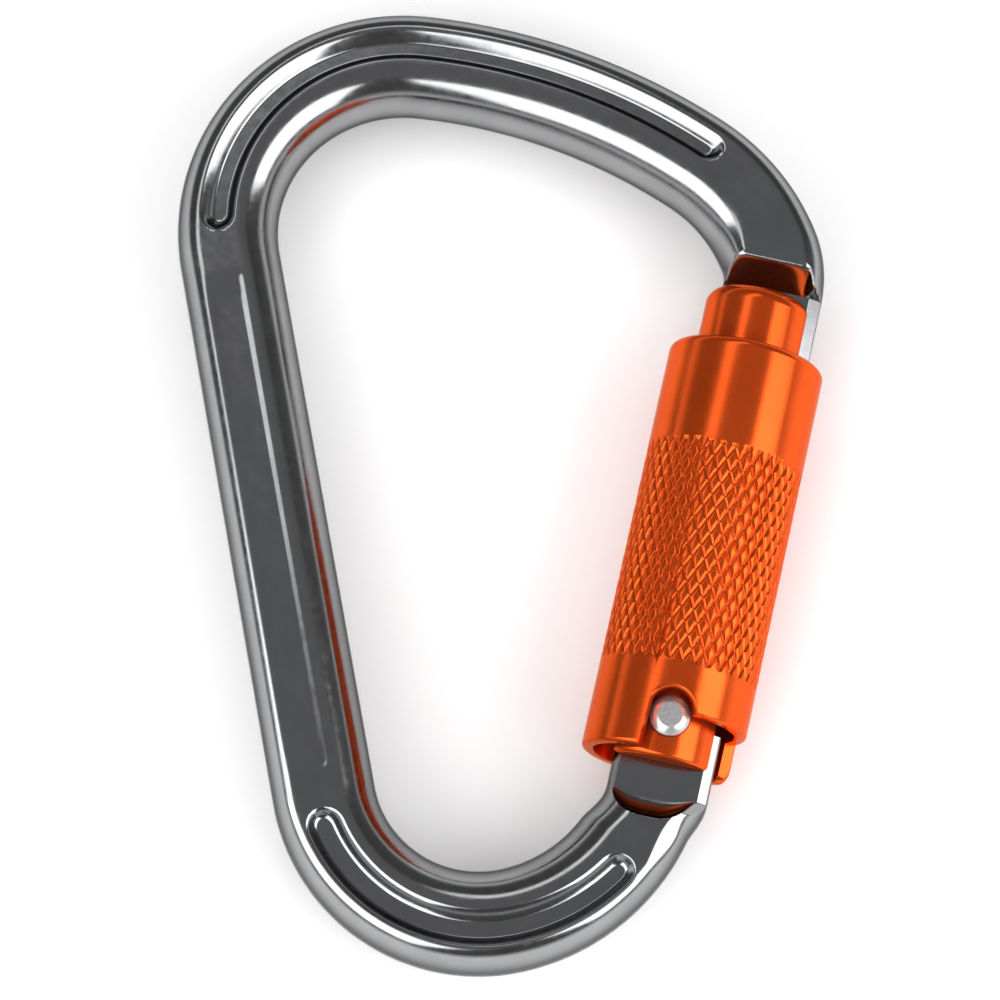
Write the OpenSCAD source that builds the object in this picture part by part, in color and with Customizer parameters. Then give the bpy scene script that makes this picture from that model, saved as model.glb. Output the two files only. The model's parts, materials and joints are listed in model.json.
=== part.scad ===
// Locking carabiner: a forged hook-shaped body, a tube gate on a rivet, and a
// knurled sleeve that has to be lifted and twisted before the gate can swing.
// X runs from the spine to the gate, Y from the hinge end to the nose end,
// and Z out of the front face. The origin is the centre of the whole object.

/* [Body] */
// Width of the forged rod, seen from the front
rod_w = 11.8; // [11.4:0.1:12.2]
// Thickness of the forged rod, front to back
rod_t = 11.4; // [10.8:0.1:12]
// Radius that rounds the rod's four edges
rod_round = 7.3; // [7.1:0.1:7.6]
// Length of the straight spine
spine_len = 64.8; // [60:0.1:68]
// Lean of the spine from the Y axis, in degrees
spine_lean = 10.4; // [9.5:0.1:11]
// Centreline radius of the wide bend at the top of the spine
top_bend_r = 20.7; // [19:0.1:22]
// Turn of that bend, in degrees
top_bend_turn = 106.7; // [106:0.1:107.5]
// Centreline radius of the shallow top bow
top_bow_r = 71.5; // [68:0.5:75]
// Turn of the top bow, in degrees
top_bow_turn = 28; // [27.5:0.1:28.5]
// Centreline radius of the shoulder above the nose
shoulder_r = 22.7; // [22:0.1:23.5]
// Turn of the shoulder, in degrees
shoulder_turn = 35.2; // [34.5:0.1:36]
// Centreline radius of the last bend, into the nose
nose_bend_r = 9; // [8:0.1:9.5]
// Centreline radius of the bend at the foot of the spine
foot_bend_r = 17.9; // [17:0.1:19]
// Turn of that bend, in degrees
foot_bend_turn = 92.4; // [91:0.1:94]
// Centreline radius of the bottom bow, up to the hinge
bottom_bow_r = 21.5; // [20.5:0.1:22.5]

/* [Gate] */
// Lean of the gate from the Y axis, in degrees
gate_lean = 12.65; // [12:0.05:13.3]
// Radius of the gate tube
gate_r = 6.2; // [6.1:0.05:6.25]
// Height of the gate's top above the hinge
gate_top = 52.7; // [52.2:0.1:52.9]
// Reach of the gate's two ears below the hinge
ear_drop = 4.7; // [4.4:0.1:5]
// Radius of the hinge rivet's shank
rivet_r = 2; // [1.8:0.05:2.1]
// Radius of the rivet's front head
rivet_head_r = 2.3; // [2.2:0.05:2.4]

/* [Sleeve] */
// Outer radius of the sleeve
sleeve_r = 9.15; // [9:0.05:9.4]
// Radius of the sleeve's bore
sleeve_bore_r = 7.75; // [7.7:0.05:7.85]
// Height of the sleeve's rim above the hinge
sleeve_top = 45; // [44:0.1:45]
// Reach of the sleeve's skirt below the hinge
skirt_drop = 4.3; // [4:0.1:4.3]
// Radius of the notch round the rivet head
notch_r = 2.9; // [2.7:0.1:3.1]
// Height of the raised edge beside the notch
raised_edge = 0.35; // [0:0.05:0.6]
// Where the raised edge ends, in degrees round from the front
raised_end = 117; // [112:1:120]

/* [Tang and nose] */
// Half the thickness of the hinge tang
tang_half = 2.8; // [2.5:0.05:2.9]
// Half the thickness of the tongue under the nose
tongue_half = 2.2; // [2:0.05:2.3]
// Height of the nose's underside above the hinge
nose_under = 53.4; // [53.3:0.1:54]

/* [Springs] */
// Wire diameter of the spring round the gate
sleeve_wire = 0.9; // [0.7:0.05:0.95]
// Number of coils in the spring round the gate
sleeve_coils = 9; // [7:1:10]
// Wire diameter of the spring in the gate's bore
gate_wire = 0.8; // [0.6:0.05:0.9]
// Number of coils in the spring in the gate's bore
gate_coils = 13; // [10:1:14]

/* [Hidden] */
$fn = 96;
over = 1;                    // how far a cut runs past what it cuts
far = 30;                    // longer than anything that a cut has to clear
body_grey = "#5c5e61";
anodised_orange = "#d2481a";
steel = "#a9acb0";
brass = "#b8954a";
polymer = "#2b2c2e";

// Body: the centreline starts at the foot of the spine and is followed both ways.
spine_foot = [-20.19, -36.75];
up_heading = 90 + spine_lean;
down_heading = up_heading - 180;
bow_heading = up_heading - top_bend_turn;
shoulder_heading = bow_heading - top_bow_turn;
nose_heading = shoulder_heading - shoulder_turn;
nose_turn = nose_heading + 90 + gate_lean;
hinge_heading = 90 - gate_lean;
bottom_heading = down_heading + foot_bend_turn;
bottom_turn = hinge_heading - bottom_heading;
corner_steps = 3;            // facets that round each edge of the rod
bend_step = 4;               // degrees of turn from ring to ring, and half that in the top bow
panel_fade = [0.2, 1];       // where extra rings follow the panel's round ends
panel_half = 2.3;            // shallow panel along the spine, on the front and on the back
panel_depth = 0.3;
panel_shift = 1.3;
panel_margin = 2;
panel_lip = 0.15;
panel_ends = [panel_margin, spine_len - panel_margin];
top_groove = [67.3, 141.2];  // ends of the groove along the top, from the spine's foot
top_groove_shift = [0.8, 1.4];
top_groove_half = [2.1, 1.3];
foot_groove = [-42.6, -2.3]; // ends of the groove along the bottom
foot_groove_shift = [2.4, 0.9];
foot_groove_half = [1.4, 2.3];
groove_depth = 1;
least_half = 0.6;            // keeps a faded groove's points apart

// Places along the gate's own axis, measured up from the hinge
hinge_rise = 6.2;            // from the end of the bottom bow up to the hinge
hinge_side = 0.1;
slot_half = tang_half + 0.15;
slot_top = 6.2;              // roof of the clevis slot
spring_bore_r = 3.3;
spring_bore_foot = 3.9;
spring_bore_top = 39;
plunger_gap = 0.08;          // running gap round the plunger
plunger_foot = 4.2;          // the tang's flat top, which the plunger presses on
plunger_top = 13;
spigot_r = 1.6;
spigot_len = 4;
tongue_slot_half = tongue_half + 0.2;
tongue_slot_floor = 1.4;
tongue_inner = 1.8;
facet_slope = 1.35;          // rise of the nose's underside, front to back, per millimetre up
tongue_slot_foot = 44.6;
tongue_sweep_r = 45.85;      // the tongue's end is an arc that clears the swinging rim
scoop_edge = -8.4;           // where the tang's flat meets the scoop
scoop_r = 3.3;
tang_inner = -5.3;
tang_outer = 6.4;
tang_round = 0.9;
tang_eye_r = 5.6;
tang_shoulder = -0.3;
tang_root = 2.3;             // how far the tang runs down into the rod
pin_gap = 0.05;              // running gap of the rivet in the tang
bush_foot = 8;
bush_top = 12;
bush_gap = 0.07;             // running gap of the bush on the gate
washer_top = 13;
washer_gap = 0.1;
collar_foot = 42;
collar_top = 44.3;
collar_gap = 0.1;
window_half = 3;             // window in the sleeve for the tongue
window_foot = 38;
window_angle = 185;
rim_round = 0.9;
skirt_round = 0.5;
gate_round = 1.8;
ear_round = 0.6;
gate_coil_r = 2.6;
head_foot = 5.5;             // seat of the rivet's front head
head_top = 7.55;
head_dome_r = 3.05;
head_crown = 2.7;            // from the dome's centre up to the flat top
tail_foot = -6.05;
tail_seat = -5.1;
tail_r = 2.6;
seat_gap = 0.1;

// Turtle steps in the plane: a point, its heading and a bend's radius give the bend's centre.
function heading_vec(h) = [cos(h), sin(h)];
function left_vec(h) = [-sin(h), cos(h)];
function ahead(p, h, d) = p + d * heading_vec(h);
function bend_centre(p, h, r, side) = p + side * r * left_vec(h);
function after_bend(p, h, r, turn, side) =
  bend_centre(p, h, r, side) - side * r * left_vec(h + side * turn);

spine_head = ahead(spine_foot, up_heading, spine_len);
bow_start = after_bend(spine_head, up_heading, top_bend_r, top_bend_turn, -1);
shoulder_start = after_bend(bow_start, bow_heading, top_bow_r, top_bow_turn, -1);
nose_start = after_bend(shoulder_start, shoulder_heading, shoulder_r, shoulder_turn, -1);
nose_end = after_bend(nose_start, nose_heading, nose_bend_r, nose_turn, -1);
bottom_start = after_bend(spine_foot, down_heading, foot_bend_r, foot_bend_turn, 1);
bottom_end = after_bend(bottom_start, bottom_heading, bottom_bow_r, bottom_turn, 1);
hinge = ahead(bottom_end, hinge_heading, hinge_rise) - hinge_side * left_vec(hinge_heading);

// A ring of the rod is a centre, the direction away from the opening, and the distance
// travelled from the foot of the spine, which counts down towards the hinge.
function reach_rings(p, h, len, out, start, stops) =
  [for (d = stops) [ahead(p, h, d), out * left_vec(h), start + out * d]];
function bend_rings(p, h, r, turn, side, out, start, step) =
  let (steps = ceil(turn / step))
    [for (i = [1:steps]) let (a = turn * i / steps)
      [after_bend(p, h, r, a, side), out * left_vec(h + side * a), start + out * bend_len(r, a)]];
function bend_len(r, turn) = r * turn * PI / 180;

top_at = spine_len;
bow_at = top_at + bend_len(top_bend_r, top_bend_turn);
shoulder_at = bow_at + bend_len(top_bow_r, top_bow_turn);
nose_at = shoulder_at + bend_len(shoulder_r, shoulder_turn);
nose_end_at = nose_at + bend_len(nose_bend_r, nose_turn);
bottom_at = -bend_len(foot_bend_r, foot_bend_turn);
nose_reach = nose_under - tongue_slot_foot;
spine_stops = [
  0, panel_ends[0], panel_ends[0] + panel_fade[0], panel_ends[0] + panel_fade[1],
  panel_ends[0] + panel_half, spine_len / 2, panel_ends[1] - panel_half,
  panel_ends[1] - panel_fade[1], panel_ends[1] - panel_fade[0], panel_ends[1], spine_len
];
upper_rings = concat(
  reach_rings(spine_foot, up_heading, spine_len, 1, 0, spine_stops),
  bend_rings(spine_head, up_heading, top_bend_r, top_bend_turn, -1, 1, top_at, bend_step),
  bend_rings(bow_start, bow_heading, top_bow_r, top_bow_turn, -1, 1, bow_at, bend_step / 2),
  bend_rings(shoulder_start, shoulder_heading, shoulder_r, shoulder_turn, -1, 1, shoulder_at, bend_step),
  bend_rings(nose_start, nose_heading, nose_bend_r, nose_turn, -1, 1, nose_at, bend_step),
  reach_rings(nose_end, -90 - gate_lean, nose_reach, 1, nose_end_at, [nose_reach])
);
lower_rings = concat(
  bend_rings(spine_foot, down_heading, foot_bend_r, foot_bend_turn, 1, -1, 0, bend_step),
  bend_rings(bottom_start, bottom_heading, bottom_bow_r, bottom_turn, 1, -1, bottom_at, bend_step)
);
rod_rings = concat([for (i = [len(upper_rings) - 1:-1:0]) upper_rings[i]], lower_rings);

// Shape of a sunk feature at the distance s: its sideways offset, half width and depth.
// It fades out over a round end at both ends.
function between(s, ends, values) =
  values[0] + (values[1] - values[0]) * (s - ends[0]) / (ends[1] - ends[0]);
function end_fade(s, ends, half) =
  let (d = min(s - ends[0], ends[1] - s))
    d <= 0 ? 0 : d >= half ? 1 : sqrt(1 - pow(1 - d / half, 2));
function sunk(s, ends, shifts, halves, depth) =
  let (half = between(s, ends, halves), fade = end_fade(s, ends, half))
    [between(s, ends, shifts), max(least_half, half * fade), depth * fade];
function feature(s) =
  s > top_groove[0] && s < top_groove[1]
    ? sunk(s, top_groove, top_groove_shift, top_groove_half, groove_depth)
    : s > foot_groove[0] && s < foot_groove[1]
      ? sunk(s, foot_groove, foot_groove_shift, foot_groove_half, groove_depth)
      : s >= panel_ends[0] && s <= panel_ends[1]
        ? sunk(s, panel_ends, [panel_shift, panel_shift], [panel_half, panel_half], panel_depth)
        : [panel_shift, least_half, 0];

// Front half of the rod's outline at the distance s, from the outer flank to the inner one,
// as (outward, front) points. A groove has a round floor and the panel has a flat one.
function corner(side, order) =
  let (low = acos(rod_w / 2 / rod_round), high = asin(rod_t / 2 / rod_round))
    [for (i = order) let (a = low + (high - low) * i / corner_steps)
      [side * rod_round * cos(a), rod_round * sin(a)]];
function floor_points(s) =
  let (
    f = feature(s),
    flat = s >= panel_ends[0] && s <= panel_ends[1],
    bank = flat ? f[1] - panel_lip : f[1] / 2,
    sink = flat ? f[2] : f[2] * 3 / 4,
    top = rod_t / 2
  ) [
    [f[0] + f[1], top], [f[0] + bank, top - sink], [f[0], top - f[2]],
    [f[0] - bank, top - sink], [f[0] - f[1], top]
  ];
function front_points(s) =
  concat(corner(1, [0:corner_steps]), floor_points(s), corner(-1, [corner_steps:-1:0]));

// The whole rod, from the nose round to the hinge, as one skin over its rings
module rod() {
  sides = 2 * len(front_points(0));
  last = (len(rod_rings) - 1) * sides;
  points = [
    for (ring = rod_rings)
      let (front = front_points(ring[2]), n = len(front))
        for (k = [0:2 * n - 1])
          let (q = k < n ? front[k] : front[2 * n - 1 - k], at = ring[0] + q[0] * ring[1])
            [at[0], at[1], k < n ? q[1] : -q[1]]
  ];
  walls = [
    for (i = [0:len(rod_rings) - 2]) for (k = [0:sides - 1])
      let (next = (k + 1) % sides, here = i * sides, there = here + sides)
        each [[here + k, here + next, there + next], [here + k, there + next, there + k]]
  ];
  caps = [
    [for (k = [sides - 1:-1:0]) k],
    [for (k = [0:sides - 1]) last + k]
  ];
  polyhedron(points = points, faces = concat(walls, caps));
}

// Puts a child drawn as x outward, y up the gate and z to the front in its place.
module in_gate_frame() translate([hinge[0], hinge[1], 0]) rotate([0, 0, -gate_lean]) children();

// Turns a child drawn along z so that it runs up the gate, from the height foot.
module up_gate(foot = 0) translate([0, foot, 0]) rotate([-90, 0, 0]) children();

// Extrudes a shape drawn as (up the gate, front) right across the gate.
module across_gate() translate([-far / 2, 0, 0]) rotate([90, 0, 90]) linear_extrude(height = far) children();

// What is machined off below the nose, which leaves the thin tongue
module nose_cuts() {
  translate([tongue_inner - far, nose_under - far, -far / 2]) cube([far, far, far]);
  across_gate() for (face = [-1, 1])
    polygon([
      [nose_under - far, face * tongue_half],
      [nose_under, face * tongue_half],
      [nose_under + far / 2, face * (tongue_half + far / 2 * facet_slope)],
      [nose_under - far, face * far]
    ]);
  intersection() {
    translate([0, 0, -far / 2]) cylinder(r = tongue_sweep_r, h = far, $fn = 360);
    translate([-far / 2, nose_under - far, -far / 2]) cube([far, far, far]);
  }
}

// What is machined off round the hinge, before the flat tang is added
module tang_cuts() {
  translate([-far / 2, scoop_edge, -far / 2]) cube([far, far, far]);
  across_gate() for (face = [-1, 1])
    translate([scoop_edge, face * (tang_half + scoop_r)]) circle(r = scoop_r);
}

// The tang's cross-section, with chamfered flanks
module tang_section() {
  half = (tang_outer - tang_inner) / 2;
  intersection() {
    square([2 * half, 2 * tang_half], center = true);
    rotate(45) square((half + tang_half - tang_round) * sqrt(2), center = true);
  }
}

// The flat tang, with its eye for the rivet and a flat top for the plunger
module tang() {
  foot = scoop_edge - tang_root;
  difference() {
    union() {
      translate([(tang_inner + tang_outer) / 2, 0, 0]) up_gate(foot)
        linear_extrude(height = tang_shoulder - foot) tang_section();
      translate([0, 0, -tang_half]) cylinder(r = tang_eye_r, h = 2 * tang_half);
    }
    through_hole(rivet_r + pin_gap);
    translate([-far / 2, plunger_foot, -far / 2]) cube([far, far, far]);
  }
}

// A hole through the gate's width, on the hinge's axis
module through_hole(r) translate([0, 0, -far / 2]) cylinder(r = r, h = far);

// A bar turned about z, with a rounded top and foot
module round_bar(r, h, top_round, foot_round)
  rotate_extrude() {
    square([r - top_round, h]);
    square([r - foot_round, h / 2]);
    translate([0, foot_round]) square([r, h - foot_round - top_round]);
    translate([r - top_round, h - top_round]) circle(r = top_round);
    translate([r - foot_round, foot_round]) circle(r = foot_round);
  }

module tube(outer, inner, h)
  rotate_extrude() translate([inner, 0]) square([outer - inner, h]);

// A coil of round wire about z, swept ring by ring
module coil(mean_r, wire, h, coils, steps, sides) {
  rings = coils * steps;
  points = [
    for (i = [0:rings]) for (k = [0:sides - 1])
      let (
        a = 360 * i / steps,
        b = 360 * k / sides,
        reach = mean_r + wire / 2 * cos(b),
        z = wire / 2 + (h - wire) * i / rings + wire / 2 * sin(b)
      ) [reach * cos(a), reach * sin(a), z]
  ];
  walls = [
    for (i = [0:rings - 1]) for (k = [0:sides - 1])
      let (next = (k + 1) % sides, ring = i * sides)
        [ring + k, ring + sides + k, ring + sides + next, ring + next]
  ];
  caps = [
    [for (k = [0:sides - 1]) k],
    [for (k = [0:sides - 1]) rings * sides + sides - 1 - k]
  ];
  polyhedron(points = points, faces = concat(walls, caps));
}

module frame_body() {
  color(body_grey) {
    difference() {
      rod();
      in_gate_frame() nose_cuts();
      in_gate_frame() tang_cuts();
    }
    in_gate_frame() tang();
  }
}

module gate() {
  color(anodised_orange) in_gate_frame() difference() {
    up_gate(-ear_drop) round_bar(gate_r, gate_top + ear_drop, gate_round, ear_round);
    translate([-far / 2, slot_top - far, -slot_half]) cube([far, far, 2 * slot_half]);
    up_gate(spring_bore_foot) cylinder(r = spring_bore_r, h = spring_bore_top - spring_bore_foot);
    translate([tongue_slot_floor, tongue_slot_foot, -tongue_slot_half])
      cube([far, far, 2 * tongue_slot_half]);
    through_hole(rivet_r);
    translate([0, 0, head_foot]) cylinder(r = rivet_head_r + seat_gap, h = far);
    translate([0, 0, tail_seat - far]) cylinder(r = tail_r + seat_gap, h = far);
  }
}

module hinge_rivet() {
  color(steel) in_gate_frame() {
    translate([0, 0, tail_foot]) cylinder(r = rivet_r, h = head_foot - tail_foot);
    translate([0, 0, tail_foot]) cylinder(r = tail_r, h = tail_seat - tail_foot);
    intersection() {
      translate([0, 0, head_foot]) cylinder(r = rivet_head_r, h = head_top - head_foot);
      translate([0, 0, head_top - head_crown]) sphere(r = head_dome_r);
    }
  }
}

module gate_plunger() {
  color(brass) in_gate_frame() {
    up_gate(plunger_foot) cylinder(r = spring_bore_r - plunger_gap, h = plunger_top - plunger_foot);
    up_gate(plunger_top) cylinder(r = spigot_r, h = spigot_len);
  }
}

module gate_spring() {
  color(steel) in_gate_frame() up_gate(plunger_top)
    coil(gate_coil_r, gate_wire, spring_bore_top - plunger_top, gate_coils, 12, 6);
}

module spring_collar() {
  color(brass) in_gate_frame() up_gate(collar_foot)
    tube(sleeve_bore_r - collar_gap, gate_r, collar_top - collar_foot);
}

module thrust_washer() {
  color(polymer) in_gate_frame() up_gate(bush_top)
    tube(sleeve_bore_r - washer_gap, gate_r + washer_gap, washer_top - bush_top);
}

module sleeve_spring() {
  color(steel) in_gate_frame() up_gate(washer_top)
    coil((gate_r + sleeve_bore_r) / 2, sleeve_wire, collar_foot - washer_top, sleeve_coils, 16, 8);
}

module guide_bush() {
  color(brass) in_gate_frame() up_gate(bush_foot)
    tube(sleeve_bore_r, gate_r + bush_gap, bush_top - bush_foot);
}

// The cuts at the sleeve's foot: a notch round the rivet head, open downwards, and the raised
// edge that runs from the notch round to the outer side, which lets the rivet pass in a twist
module skirt_cuts() {
  depth = skirt_drop + over;
  cylinder(r = notch_r, h = far);
  translate([-notch_r, -depth, 0]) cube([notch_r + far / 4, depth, far]);
  up_gate(-depth) rotate([0, 0, -90]) rotate_extrude(angle = raised_end)
    translate([sleeve_bore_r - over, 0]) square([far, depth + raised_edge]);
}

module locking_sleeve() {
  color(anodised_orange) in_gate_frame() difference() {
    up_gate(-skirt_drop) round_bar(sleeve_r, sleeve_top + skirt_drop, rim_round, skirt_round);
    up_gate(-far) cylinder(r = sleeve_bore_r, h = 4 * far);
    skirt_cuts();
    up_gate(window_foot) rotate([0, 0, window_angle - 90])
      translate([0, -window_half, 0]) cube([far, 2 * window_half, far]);
  }
}

frame_body();
gate();
hinge_rivet();
gate_plunger();
gate_spring();
spring_collar();
thrust_washer();
sleeve_spring();
locking_sleeve();
guide_bush();
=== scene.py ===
import math

import bpy
import numpy as np
from mathutils import Matrix, Vector
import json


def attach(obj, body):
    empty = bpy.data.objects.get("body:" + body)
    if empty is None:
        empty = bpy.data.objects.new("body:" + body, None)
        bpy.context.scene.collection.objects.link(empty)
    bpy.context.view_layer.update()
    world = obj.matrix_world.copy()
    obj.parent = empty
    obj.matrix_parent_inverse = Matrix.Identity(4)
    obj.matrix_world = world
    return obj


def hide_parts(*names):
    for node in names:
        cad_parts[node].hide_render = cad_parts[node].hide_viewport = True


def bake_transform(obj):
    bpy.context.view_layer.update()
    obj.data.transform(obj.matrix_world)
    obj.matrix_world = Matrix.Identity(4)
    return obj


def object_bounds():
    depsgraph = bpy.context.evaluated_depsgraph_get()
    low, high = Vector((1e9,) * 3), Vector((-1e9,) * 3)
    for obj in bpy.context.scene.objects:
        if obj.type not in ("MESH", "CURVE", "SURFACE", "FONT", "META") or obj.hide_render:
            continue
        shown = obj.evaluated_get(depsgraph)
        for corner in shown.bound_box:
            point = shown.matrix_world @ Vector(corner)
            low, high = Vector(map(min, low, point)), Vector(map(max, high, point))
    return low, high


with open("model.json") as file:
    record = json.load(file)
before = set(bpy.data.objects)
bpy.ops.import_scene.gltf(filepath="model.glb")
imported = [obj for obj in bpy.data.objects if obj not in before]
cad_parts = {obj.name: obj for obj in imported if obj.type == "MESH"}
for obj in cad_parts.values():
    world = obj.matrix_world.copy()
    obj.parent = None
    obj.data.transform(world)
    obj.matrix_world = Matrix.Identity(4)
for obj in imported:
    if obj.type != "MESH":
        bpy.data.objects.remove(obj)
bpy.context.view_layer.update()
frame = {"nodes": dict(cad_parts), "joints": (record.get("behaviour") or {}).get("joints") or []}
MM = 0.001

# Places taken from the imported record: the hinge and the direction up the gate
joints = {j["name"]: j for j in frame["joints"]}
HINGE = np.array(joints["gate_swing"]["pos_m"][:2]) / MM
UP = np.array(joints["sleeve_lift"]["axis"][:2])
OUT = np.array([UP[1], -UP[0]])
GATE_LEAN = math.degrees(math.atan2(UP[0], UP[1]))


# ---------------------------------------------------------------- mesh helpers
def skin(name, rings, close_rings=False):
    """A mesh over rings of points, in millimetres. Each ring is closed. The first and last ring
    are filled unless close_rings joins them."""
    count, sides = rings.shape[:2]
    verts = rings.reshape(-1, 3) * MM
    nxt = (np.arange(sides) + 1) % sides
    steps = count if close_rings else count - 1
    faces = []
    for i in range(steps):
        a, b = i * sides, ((i + 1) % count) * sides
        faces += [(a + k, a + nxt[k], b + nxt[k], b + k) for k in range(sides)]
    if not close_rings:
        faces.append(tuple(range(sides - 1, -1, -1)))
        last = (count - 1) * sides
        faces.append(tuple(last + k for k in range(sides)))
    mesh = bpy.data.meshes.new(name)
    mesh.from_pydata(verts.tolist(), [], [tuple(int(v) for v in f) for f in faces])
    mesh.update()
    obj = bpy.data.objects.new(name, mesh)
    bpy.context.scene.collection.objects.link(obj)
    return obj


def smooth(obj, angle=35):
    """Smooth shading that keeps edges sharper than angle."""
    bpy.context.view_layer.objects.active = obj
    obj.select_set(True)
    bpy.ops.object.shade_smooth_by_angle(angle=math.radians(angle))
    obj.select_set(False)


def smooth_min(a, b, k):
    """The smaller of a and b, with the corner between them rounded over k."""
    h = np.clip(0.5 + 0.5 * (b - a) / k, 0, 1)
    return b + (a - b) * h - k * h * (1 - h)


def ramp(x, a, b):
    t = np.clip((x - a) / (b - a), 0, 1)
    return t * t * (3 - 2 * t)


def in_gate_frame(xy):
    """(outward from the gate's axis, up the gate) of points in the row frame, in millimetres."""
    d = xy - HINGE
    return d @ OUT, d @ UP


def from_gate_frame(x, s):
    return HINGE + np.multiply.outer(x, OUT) + np.multiply.outer(s, UP)


# ---------------------------------------------------------------- the forged body
HALF_W = 5.9        # half the rod's width, seen from the front
HALF_T = 5.7        # half its thickness
NOSE_UNDER = 53.4   # underside of the nose, above the hinge
TONGUE_HALF = 2.2
TONGUE_INNER = 1.8
TONGUE_SWEEP = 45.85
SCOOP_EDGE = -8.4
SCOOP_R = 3.3
TANG_HALF = 2.8
TANG_INNER, TANG_OUTER = -5.3, 6.4
TANG_EYE = 5.6
EYE_FOOT, EYE_TOP = -0.3, 4.2    # the flanks turn into the eye, and the plunger's flat
BEVEL_SLOPE = 0.62  # rise of every bevel, per millimetre in from the edge
FACET_SLOPE = 1.35  # rise of the nose's underside, per millimetre up
SPINE_LEAN = 10.4
SPINE_LEN = 64.8


def heading(h):
    return np.array([math.cos(math.radians(h)), math.sin(math.radians(h))])


def left_of(h):
    return np.array([-math.sin(math.radians(h)), math.cos(math.radians(h))])


def straight(walk, length, step):
    point, h, s = walk[-1]
    n = max(1, round(length / step))
    walk += [(point + heading(h) * length * i / n, h, s + length * i / n) for i in range(1, n + 1)]


def bend(walk, radius, turn, side, step):
    point, h, s = walk[-1]
    centre = point + side * radius * left_of(h)
    length = radius * math.radians(turn)
    n = max(1, round(length / step))
    for i in range(1, n + 1):
        a = turn * i / n
        walk.append((centre - side * radius * left_of(h + side * a), h + side * a, s + length * i / n))


def rod_path():
    """Rings of the rod from the nose to the hinge: centre, direction away from the opening, and
    distance from the foot of the spine."""
    foot = HINGE + np.array([-39.242, -8.061])
    up = [(foot, 90 + SPINE_LEAN, 0.0)]
    straight(up, SPINE_LEN, 0.3)
    bend(up, 20.7, 106.7, -1, 0.3)
    bend(up, 71.5, 28, -1, 0.3)
    bend(up, 22.7, 35.2, -1, 0.25)
    bend(up, 9, up[-1][1] + 90 + GATE_LEAN, -1, 0.12)
    down = [(foot, SPINE_LEAN - 90, 0.0)]
    bend(down, 17.9, 92.4, 1, 0.3)
    bend(down, 21.5, 32, 1, 0.25)
    bend(down, 21.5, 90 - GATE_LEAN - down[-1][1], 1, 0.08)
    centre = [p for p, h, s in reversed(up)] + [p for p, h, s in down[1:]]
    outward = [left_of(h) for p, h, s in reversed(up)] + [-left_of(h) for p, h, s in down[1:]]
    along = [s for p, h, s in reversed(up)] + [-s for p, h, s in down[1:]]
    return np.array(centre), np.array(outward), np.array(along)


def to_tang(points, tang_x):
    """Moves an outline of the rod over to the tang's flank where the scoop ends."""
    x, s = in_gate_frame(points)
    near = (points[:, 1] < 0) & (points[:, 0] > 0)
    share = np.where(near, ramp(s, SCOOP_EDGE - 4.2, SCOOP_EDGE + 0.3), 0)
    return points + ((tang_x - x) * share)[:, None] * OUT


def body_outline():
    """Outer and inner outline points of every ring, with the distance along the rod."""
    centre, outward, along = rod_path()
    outer, inner = centre + HALF_W * outward, centre - HALF_W * outward
    # below the nose the rings carry on as the tongue
    nose_x = in_gate_frame(outer[0])[0]
    share = np.linspace(0, 1, 40)
    end_out = math.sqrt(TONGUE_SWEEP**2 - nose_x**2)
    end_in = math.sqrt(TONGUE_SWEEP**2 - TONGUE_INNER**2)
    rise_out = end_out + (NOSE_UNDER - end_out) * share
    rise_in = end_in + (NOSE_UNDER - end_in) * share
    tongue_out = from_gate_frame(np.full(len(share), nose_x), rise_out)
    tongue_in = from_gate_frame(np.full(len(share), TONGUE_INNER), rise_in)
    nose_in = in_gate_frame(inner[0])[0]
    lip_out = from_gate_frame(np.array([nose_x]), np.array([NOSE_UNDER]))
    lip_in = from_gate_frame(np.array([nose_in]), np.array([NOSE_UNDER]))
    # above the scoop the rings carry on as the flat tang, with its round eye
    foot_s = in_gate_frame(centre[-1])[1]
    low = np.linspace(foot_s, EYE_FOOT, 50)[1:]
    eye = np.linspace(EYE_FOOT, EYE_TOP, 40)
    eye_x = np.sqrt(TANG_EYE**2 - eye**2)
    tang_out = from_gate_frame(np.full(len(low), TANG_OUTER), low)
    tang_in = from_gate_frame(np.full(len(low), TANG_INNER), low)
    outer, inner = to_tang(outer, TANG_OUTER), to_tang(inner, TANG_INNER)
    outer = np.concatenate([tongue_out, lip_out, outer, tang_out, from_gate_frame(eye_x, eye)])
    inner = np.concatenate([tongue_in, lip_in, inner, tang_in, from_gate_frame(-eye_x, eye)])
    along = np.concatenate([
        np.full(len(share) + 1, along[0]), along, np.full(len(low) + len(eye), along[-1])
    ])
    return outer, inner, along


def wall(distance, width):
    """0 outside an edge, 1 beyond a nearly straight wall of that width."""
    t = np.clip(distance / width, 0, 1)
    return 0.35 * t + 0.65 * t * t * (3 - 2 * t)


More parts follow.
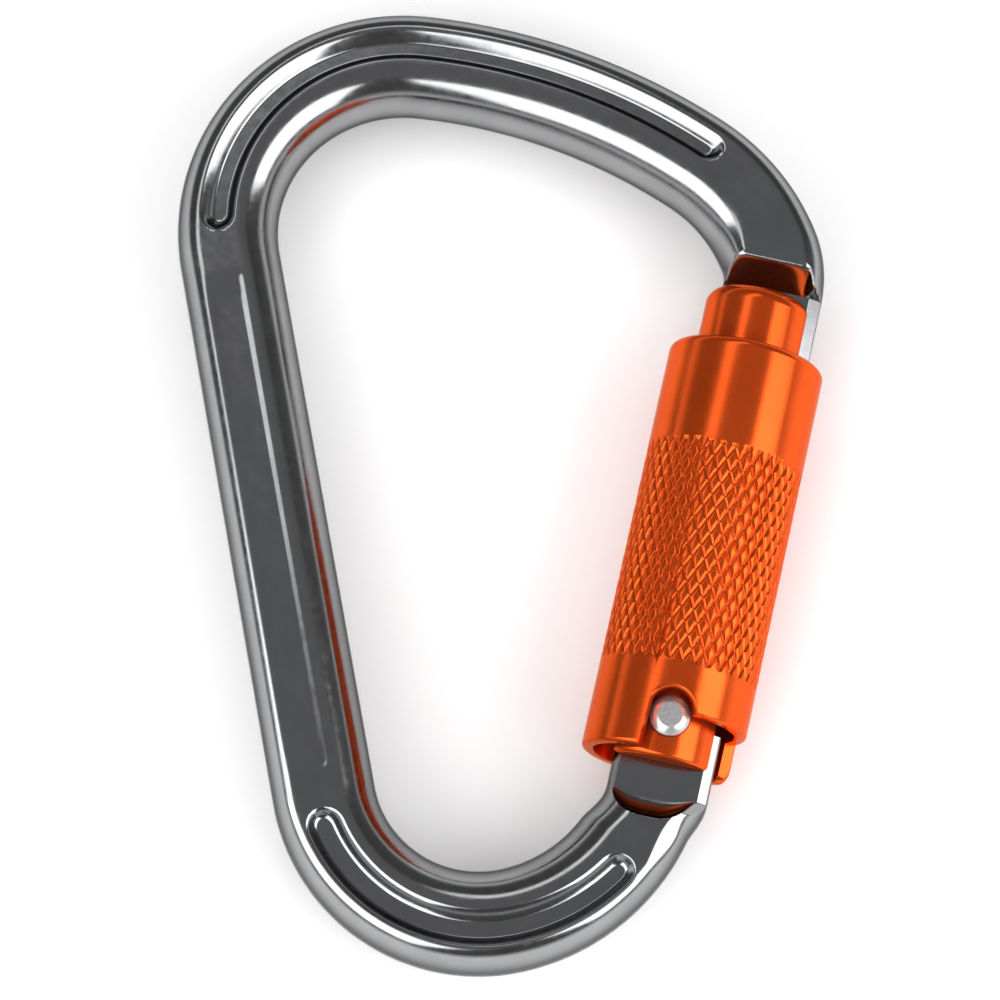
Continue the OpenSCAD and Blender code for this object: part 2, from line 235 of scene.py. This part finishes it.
def groove_depth(along, side):
    """How far the two grooves and the panel are sunk. side is millimetres outward of the centreline."""
    depth = np.zeros(np.broadcast(along, side).shape)
    grooves = [
        # first end, last end, offset at each end, half width at each end, outer and inner wall, depth
        (67.2, 140.6, 1.0, 1.2, 2.1, 1.9, 1.9, 1.0, 1.25),
        (-43.0, -2.2, 1.6, 0.95, 2.15, 2.3, 1.3, 1.5, 1.15),
    ]
    for first, last, shift_a, shift_b, half_a, half_b, outer_wall, inner_wall, deep in grooves:
        t = (along - first) / (last - first)
        half = half_a + (half_b - half_a) * t
        shift = shift_a + (shift_b - shift_a) * t
        past = np.maximum(0, np.maximum(first + half - along, along - last + half))
        across = side - shift
        inside = half - np.hypot(past, across)
        turn = ramp(across / half, -0.5, 0.5)
        width = inner_wall + (outer_wall - inner_wall) * turn
        width = width + (0.9 - width) * ramp(past / half, 0, 1)
        depth = np.maximum(depth, deep * wall(inside, width))
    inner_edge, outer_edge, corner = -1.15, 3.9, 1.0
    dx = np.maximum(0, inner_edge + corner - side)
    dy = np.maximum(0, np.maximum(2.0 + corner - along, along - (SPINE_LEN - 2.6 - corner)))
    edge = corner - np.hypot(dx, dy)
    outer_fade = ramp(outer_edge - side, 0, 1.6)
    end_fade = ramp(along, 1.0, 7.0) * (1 - ramp(along, SPINE_LEN - 7.0, SPINE_LEN - 1.6))
    fade = np.maximum(end_fade, 1 - ramp(side, -0.9, 0.3))
    return np.maximum(depth, 0.15 * np.clip(edge / 0.65, 0, 1) * outer_fade * fade)


def body_rings():
    outer, inner, along = body_outline()
    # the profile runs from the outer silhouette over the front to the inner one, then back
    even = np.linspace(0, 1, 141)
    share = 0.35 * (1 - np.cos(math.pi * even)) / 2 + 0.65 * even
    xy = outer[:, None, :] * (1 - share)[None, :, None] + inner[:, None, :] * share[None, :, None]
    across = np.linalg.norm(outer - inner, axis=1)
    t_out = share[None, :] * across[:, None]             # millimetres in from the outer silhouette
    t_in = across[:, None] - t_out

    # the outer shoulder falls away faster than the inner one
    def shoulder(t, reach, power):
        q = np.clip(1 - t / reach, 0, 1)
        return HALF_T * (1 - q**power) ** (1 / power)

    # the inner shoulder narrows towards the nose
    inner_reach = 4.6 - 2.7 * ramp(along, 143, 157)[:, None]
    z = np.minimum(shoulder(t_out, 3.0, 2.2), shoulder(t_in, inner_reach, 1.9))
    side = HALF_W - t_out
    # a broad bevel along the outer side near the hinge, and a narrow one near the nose
    at_hinge = 1.9 * ramp(along, -37, -47) - 0.8 * ramp(along, -47, -52)
    bevel_foot = 5.8 - at_hinge - 1.6 * ramp(along, 146, 155)
    z = smooth_min(z, bevel_foot[:, None] + BEVEL_SLOPE * t_out, 0.3)
    z = z - groove_depth(along[:, None], side) * (z > 0)
    # machined limits round the nose and the hinge
    x, s = in_gate_frame(xy)
    nose_x = in_gate_frame(outer[0])[0]
    near_nose = (xy[..., 1] > 0) & (xy[..., 0] > 0)
    outer_wall = ramp(x, 4.7, 6.2) * ramp(s, NOSE_UNDER + 0.05, NOSE_UNDER + 0.8) * 3.2
    rise = np.clip(s - NOSE_UNDER, 0, None)
    hollow = 0.3 * np.sin(np.clip(rise / 2.6, 0, 1) * math.pi)
    facet = TONGUE_HALF + rise * FACET_SLOPE - hollow + outer_wall
    # a chamfer along the tongue's outer side, which ends at the nose
    edge_cut = 1.25 + 0.6 * np.clip(nose_x - x, 0, 9)
    edge_cut = edge_cut + 5 * np.clip(s - NOSE_UNDER, 0, None)
    facet = np.minimum(facet, edge_cut)
    z = np.where(near_nose, smooth_min(z, facet, 0.6), z)
    near_hinge = (xy[..., 1] < 0) & (xy[..., 0] > 0)
    # the scoop's lower edge on the face is an arc, so it reaches furthest in the middle
    width_left = np.clip(1 - np.abs((x + 0.3) / 5.3) ** 3, 0.04, 1)
    below = np.clip(SCOOP_EDGE - s, 0, None)
    drop = below / width_left
    scoop = TANG_HALF + SCOOP_R - np.sqrt(np.maximum(SCOOP_R**2 - drop**2, 0))
    scoop = scoop + 4 * np.clip(drop - SCOOP_R, 0, None)
    chamfer = 2.0 + BEVEL_SLOPE * (TANG_OUTER - x) + 0.9 * below
    z = np.where(near_hinge, smooth_min(z, np.minimum(scoop, np.maximum(chamfer, 0.4)), 0.25), z)
    z = np.maximum(z, 0)
    front = np.concatenate([xy, z[..., None]], axis=2)
    back = np.concatenate([xy, -z[..., None]], axis=2)[:, -2:0:-1]
    return np.concatenate([front, back], axis=1)


def cut_with(obj, cutter):
    """Cuts cutter out of obj for good, and removes the cutter."""
    cut = obj.modifiers.new("cut", "BOOLEAN")
    cut.operation, cut.solver, cut.object = "DIFFERENCE", "EXACT", cutter
    bpy.context.view_layer.update()
    made = bpy.data.meshes.new_from_object(obj.evaluated_get(bpy.context.evaluated_depsgraph_get()))
    obj.modifiers.clear()
    obj.data = made
    bpy.data.objects.remove(cutter)


def cylinder(name, radius, low, high, sides=96):
    """A plain bar along Z at the hinge."""
    a = np.linspace(0, 2 * math.pi, sides, endpoint=False)
    ring = np.stack([HINGE[0] + radius * np.cos(a), HINGE[1] + radius * np.sin(a)], axis=1)
    rings = [np.column_stack([ring, np.full(sides, z)]) for z in (low, high)]
    return skin(name, np.array(rings))


body = skin("body_shell", body_rings())
cut_with(body, cylinder("rivet_hole", 2.05, -9, 9))
smooth(body, 40)
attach(body, "body")
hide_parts("frame_body")


# ---------------------------------------------------------------- the knurled sleeve
SLEEVE_R = 9.15
SLEEVE_BORE = 7.75
SLEEVE_TOP = 45.0
SKIRT = -4.3
NOTCH_R = 2.9
RAISED = 0.35
KNURL_LOW, KNURL_HIGH = 5.9, 32.4
KNURL_STARTS = 38   # grooves round the sleeve in each direction
KNURL_LEAN = 26.5   # lean of the grooves from the gate's axis, in degrees
KNURL_DEPTH = 0.23
SKIRT_START = 116   # where the raised edge ends, in degrees round from the front
SKIRT_CORNER = 1.4  # radius of the skirt's corner there
WINDOW_ANGLE, WINDOW_HALF, WINDOW_FOOT = 185, 3.0, 38.0


def sleeve_foot(angle):
    """Height of the sleeve's lower edge. angle is in degrees round from the front, outward first."""
    x = SLEEVE_R * np.sin(np.radians(angle))
    front = np.abs(angle) < 60
    arch = np.sqrt(np.clip(NOTCH_R**2 - x**2, 0, None))
    degrees = math.degrees(1 / SLEEVE_R)                 # for one millimetre round the sleeve
    past = np.clip((angle - SKIRT_START) / degrees, 0, SKIRT_CORNER)
    corner = SKIRT + SKIRT_CORNER - np.sqrt(SKIRT_CORNER**2 - (SKIRT_CORNER - past) ** 2)
    raised = np.where(angle < SKIRT_START, RAISED, corner)
    left = math.degrees(math.asin(-NOTCH_R / SLEEVE_R))
    low_left = SKIRT + (arch - SKIRT) * ramp(angle, left - 0.12 * degrees, left + 0.3 * degrees)
    foot = np.where(angle > 0, np.maximum(raised, np.where(front, arch, -99)), low_left)
    return np.where((angle <= 0) & ~front, SKIRT, foot)


def sleeve_head(angle):
    """Height of the rim, cut down at the window behind the tongue."""
    half = math.degrees(math.asin(WINDOW_HALF / SLEEVE_R))
    off = np.abs((angle - WINDOW_ANGLE + 180) % 360 - 180)
    return WINDOW_FOOT + (SLEEVE_TOP - WINDOW_FOOT) * ramp(off, half, half + 2.5)


def knurl(angle, s):
    """Height of the diamond knurl above its grooves, from 0 to 1."""
    pitch = 360 / KNURL_STARTS
    turn = s * math.degrees(math.tan(math.radians(KNURL_LEAN)) / SLEEVE_R)

    def ridge(phase):
        d = np.abs((phase / pitch) % 1 - 0.5) * 2        # 1 in the groove's middle
        return 1 - d**3.2

    return np.maximum(smooth_min(ridge(angle + turn), ridge(angle - turn), 0.2), 0)


def sleeve_rings():
    count = 900
    angle = np.linspace(-180, 180, count, endpoint=False)
    foot, head = sleeve_foot(angle), sleeve_head(angle)
    body_rows = np.linspace(0, 1, 330)
    round_rows = np.linspace(0, 1, 7)
    rim, hem = 0.9, 0.45
    rows = []
    for t in round_rows[:-1]:                            # hem's rounding, from the end face outwards
        a = math.radians(90 * t)
        rows.append((SLEEVE_R - hem + hem * math.sin(a), foot + hem * (1 - math.cos(a))))
    for t in body_rows:
        s = foot + hem + (head - rim - foot - hem) * t
        band = ramp(s, KNURL_LOW, KNURL_LOW + 0.35) * (1 - ramp(s, KNURL_HIGH - 0.35, KNURL_HIGH))
        cut = KNURL_DEPTH * (1 - knurl(angle, s)) * band
        rows.append((SLEEVE_R - cut, s))
    for t in round_rows[1:]:                             # rim's rounding
        a = math.radians(90 * t)
        rows.append((SLEEVE_R - rim + rim * math.cos(a), head - rim + rim * math.sin(a)))
    for t in (0, 0.5, 1):                                # bore edge, with a fine chamfer
        rows.append((SLEEVE_BORE + 0.12 * (1 - t), head - 0.12 * t))
    for t in np.linspace(0, 1, 24)[1:-1]:
        rows.append((np.full(count, SLEEVE_BORE), head + (foot - head) * t))
    for t in (0, 0.5, 1):
        rows.append((SLEEVE_BORE + 0.12 * t, foot + 0.12 * (1 - t)))
    rings = []
    for radius, s in rows:
        radius = np.broadcast_to(radius, (count,))
        x, z = radius * np.sin(np.radians(angle)), radius * np.cos(np.radians(angle))
        xy = HINGE + x[:, None] * OUT + np.broadcast_to(s, (count,))[:, None] * UP
        rings.append(np.column_stack([xy, z]))
    return np.array(rings)


sleeve = skin("knurled_sleeve", sleeve_rings(), close_rings=True)
smooth(sleeve, 38)
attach(sleeve, "sleeve")
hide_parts("locking_sleeve")


# ---------------------------------------------------------------- the springs
def spring(name, mean_r, wire, low, high, coils):
    """A compression spring up the gate's axis, with a closed coil at each end."""
    steps, sides = 48, 20
    turn = np.linspace(0, coils, coils * steps + 1)
    length = high - low
    heights = [0, wire * 1.02, length - wire * 2.02, length - wire]
    rise = np.interp(turn, [0, 1, coils - 1, coils], heights)
    around = np.linspace(0, 2 * math.pi, sides, endpoint=False)
    reach = mean_r + wire / 2 * np.cos(around)[None, :]
    s = low + wire / 2 + rise[:, None] + wire / 2 * np.sin(around)[None, :]
    a = 2 * math.pi * turn[:, None]
    x, z = reach * np.sin(a), reach * np.cos(a)
    xy = HINGE + x[..., None] * OUT + s[..., None] * UP
    return skin(name, np.concatenate([xy, z[..., None]], axis=2))


outer_spring = spring("outer_spring", (6.2 + 7.75) / 2, 0.9, 13, 42, 9)
smooth(outer_spring)
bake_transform(outer_spring)
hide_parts("sleeve_spring")
inner_spring = spring("inner_spring", 2.6, 0.8, 13, 39, 13)
smooth(inner_spring)
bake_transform(inner_spring)
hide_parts("gate_spring")


# ---------------------------------------------------------------- materials
def new_material(name):
    made = bpy.data.materials.new(name)
    made.use_nodes = True
    tree = made.node_tree
    shader = tree.nodes["Principled BSDF"]
    return made, tree, shader


def noise(tree, scale, detail=4.0, rough=0.55, stretch=None):
    """Noise on the object's own coordinates, which are in metres."""
    place = tree.nodes.new("ShaderNodeTexCoord")
    source = place.outputs["Object"]
    if stretch:
        mapping = tree.nodes.new("ShaderNodeMapping")
        mapping.inputs["Rotation"].default_value = (0, 0, math.radians(GATE_LEAN))
        mapping.inputs["Scale"].default_value = stretch
        tree.links.new(source, mapping.inputs["Vector"])
        source = mapping.outputs["Vector"]
    tex = tree.nodes.new("ShaderNodeTexNoise")
    tex.inputs["Scale"].default_value = scale
    tex.inputs["Detail"].default_value = detail
    tex.inputs["Roughness"].default_value = rough
    tree.links.new(source, tex.inputs["Vector"])
    return tex.outputs["Fac"]


def spread(tree, factor, low, high, start=0.3, stop=0.7):
    """Turns a factor into numbers from low to high."""
    node = tree.nodes.new("ShaderNodeMapRange")
    node.inputs["From Min"].default_value = start
    node.inputs["From Max"].default_value = stop
    node.inputs["To Min"].default_value = low
    node.inputs["To Max"].default_value = high
    tree.links.new(factor, node.inputs["Value"])
    return node.outputs["Result"]


def tint(tree, factor, dark, light):
    node = tree.nodes.new("ShaderNodeValToRGB")
    first, last = node.color_ramp.elements[0], node.color_ramp.elements[1]
    first.position, last.position = 0.3, 0.7
    first.color, last.color = (*dark, 1), (*light, 1)
    tree.links.new(factor, node.inputs["Fac"])
    return node.outputs["Color"]


def bump(tree, shader, height, strength, distance):
    node = tree.nodes.new("ShaderNodeBump")
    node.inputs["Strength"].default_value = strength
    node.inputs["Distance"].default_value = distance
    tree.links.new(height, node.inputs["Height"])
    tree.links.new(node.outputs["Normal"], shader.inputs["Normal"])


def metal(name, dark, light, rough, grain, grain_depth, stretch=None, coarse=180, metallic=1.0,
          edge=(1, 1, 1)):
    """A metal with uneven polish and fine grain. dark and light are its two tones, rough the lowest
    and highest roughness, grain the grain's scale, and coarse the scale of the change of tone."""
    made, tree, shader = new_material(name)
    shader.inputs["Metallic"].default_value = metallic
    shader.inputs["Specular Tint"].default_value = (*edge, 1)
    blotch = noise(tree, coarse)
    tree.links.new(tint(tree, blotch, dark, light), shader.inputs["Base Color"])
    tree.links.new(spread(tree, noise(tree, grain, 6, 0.6, stretch), *rough), shader.inputs["Roughness"])
    bump(tree, shader, noise(tree, grain * 1.6, 3, 0.5, stretch), 0.35, grain_depth)
    return made


polished = metal(
    "polished_alloy", (0.29, 0.295, 0.30), (0.33, 0.335, 0.34), (0.11, 0.2), 900, 0.000006,
    edge=(0.3, 0.3, 0.3),
)
anodised = metal(
    "orange_anodising", (0.70, 0.082, 0.011), (0.75, 0.093, 0.013), (0.18, 0.23), 2600, 0.000002,
    (1, 0.25, 1), metallic=0.8, edge=(0.9, 0.5, 0.3),
)
rivet_metal = metal(
    "rivet_metal", (0.56, 0.56, 0.57), (0.7, 0.7, 0.71), (0.26, 0.4), 2200, 0.00001,
    coarse=2500, metallic=0.85,
)
spring_metal = metal(
    "spring_wire", (0.42, 0.42, 0.43), (0.55, 0.55, 0.56), (0.22, 0.38), 1800, 0.000012,
)
brass = metal(
    "turned_brass", (0.62, 0.42, 0.16), (0.75, 0.54, 0.24), (0.2, 0.36), 1500, 0.000012, (1, 6, 1),
)
rubber, rubber_tree, rubber_shader = new_material("washer_polymer")
rubber_tree.links.new(
    tint(rubber_tree, noise(rubber_tree, 700), (0.012, 0.012, 0.013), (0.03, 0.03, 0.032)),
    rubber_shader.inputs["Base Color"],
)
rubber_tree.links.new(
    spread(rubber_tree, noise(rubber_tree, 1600), 0.45, 0.7),
    rubber_shader.inputs["Roughness"],
)
bump(rubber_tree, rubber_shader, noise(rubber_tree, 2400), 0.4, 0.00002)

for obj, made in (
    (body, polished), (sleeve, anodised),
    (frame["nodes"]["gate"], anodised), (frame["nodes"]["hinge_rivet"], rivet_metal),
    (frame["nodes"]["gate_plunger"], brass), (inner_spring, spring_metal), (outer_spring, spring_metal),
    (frame["nodes"]["spring_collar"], brass), (frame["nodes"]["thrust_washer"], rubber),
    (frame["nodes"]["guide_bush"], brass),
):
    obj.data.materials.clear()
    obj.data.materials.append(made)


# ---------------------------------------------------------------- studio
FLOOR_HALF = 1.6
FLOOR_GAP = 0.0002  # keeps the sleeve from sharing the floor's plane
floor_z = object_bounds()[0].z - FLOOR_GAP
floor_mesh = bpy.data.meshes.new("floor")
corners = ((-1, -1), (1, -1), (1, 1), (-1, 1))
floor_mesh.from_pydata(
    [(FLOOR_HALF * x, FLOOR_HALF * y, floor_z) for x, y in corners], [], [(0, 1, 2, 3)],
)
floor = bpy.data.objects.new("floor", floor_mesh)
bpy.context.scene.collection.objects.link(floor)
paper, paper_tree, paper_shader = new_material("floor_paper")
paper_shader.inputs["Base Color"].default_value = (0.93, 0.93, 0.93, 1)
paper_shader.inputs["Roughness"].default_value = 0.9
paper_shader.inputs["Specular IOR Level"].default_value = 0.0
floor_mesh.materials.append(paper)

world = bpy.data.worlds.new("studio")
bpy.context.scene.world = world
world.use_nodes = True
sky = world.node_tree
direction = sky.nodes.new("ShaderNodeTexCoord")
parts = sky.nodes.new("ShaderNodeSeparateXYZ")
sky.links.new(direction.outputs["Generated"], parts.inputs["Vector"])
shade = sky.nodes.new("ShaderNodeValToRGB")
lowest, highest = shade.color_ramp.elements[0], shade.color_ramp.elements[1]
lowest.position, lowest.color = 0.0, (1.2, 1.2, 1.2, 1)
highest.position, highest.color = 0.95, (0.24, 0.24, 0.25, 1)
for position, grey in ((0.1, 0.9), (0.24, 0.14), (0.7, 0.1), (0.82, 0.22)):
    stop = shade.color_ramp.elements.new(position)
    stop.color = (grey, grey, grey, 1)
sky.links.new(parts.outputs["Z"], shade.inputs["Fac"])
sky.links.new(shade.outputs["Color"], sky.nodes["Background"].inputs["Color"])


def softbox(name, direction_to, size, radiance, distance=0.6, seen=True):
    """A rectangular light round the object, facing it."""
    data = bpy.data.lights.new(name, "AREA")
    data.shape, data.size, data.size_y = "RECTANGLE", size[0], size[1]
    data.energy = radiance * math.pi * size[0] * size[1]
    obj = bpy.data.objects.new(name, data)
    bpy.context.scene.collection.objects.link(obj)
    to = Vector(direction_to).normalized()
    obj.location = to * distance
    obj.rotation_mode = "QUATERNION"
    obj.rotation_quaternion = (-to).to_track_quat("-Z", "Y")
    obj.visible_glossy = seen
    obj.visible_camera = False
    return obj


def from_top(angle, azimuth):
    """The direction angle degrees off straight up from the object's face, towards azimuth."""
    a, b = math.radians(angle), math.radians(azimuth)
    return (math.sin(a) * math.cos(b), math.sin(a) * math.sin(b), math.cos(a))


softbox("box_right", from_top(52, -23), (0.66, 0.42), 3.6)
softbox("box_left", from_top(52, -144), (0.76, 0.42), 3.4)
softbox("patch_above", from_top(31, 128), (0.7, 0.12), 1.7)
softbox("fill_above", from_top(8, 60), (1.6, 1.6), 0.95, 1.2, seen=False)

# ---------------------------------------------------------------- camera
camera = bpy.data.objects.new("camera", bpy.data.cameras.new("camera"))
bpy.context.scene.collection.objects.link(camera)
camera.data.lens = 148.8
camera.data.sensor_width = 36
camera.data.dof.use_dof = False
camera.data.clip_start, camera.data.clip_end = 0.01, 20
eye = Vector((-5.72, -122.67, 465.19)) * MM
target = Vector((-0.10, -1.82, 0)) * MM
camera.location = eye
camera.rotation_mode = "QUATERNION"
back = (eye - target).normalized()
right = Vector((0, 1, 0)).cross(back).normalized()
upward = back.cross(right)
camera.rotation_quaternion = Matrix((right, upward, back)).transposed().to_quaternion()
bpy.context.scene.camera = camera
bpy.context.scene.view_settings.view_transform = "Standard"
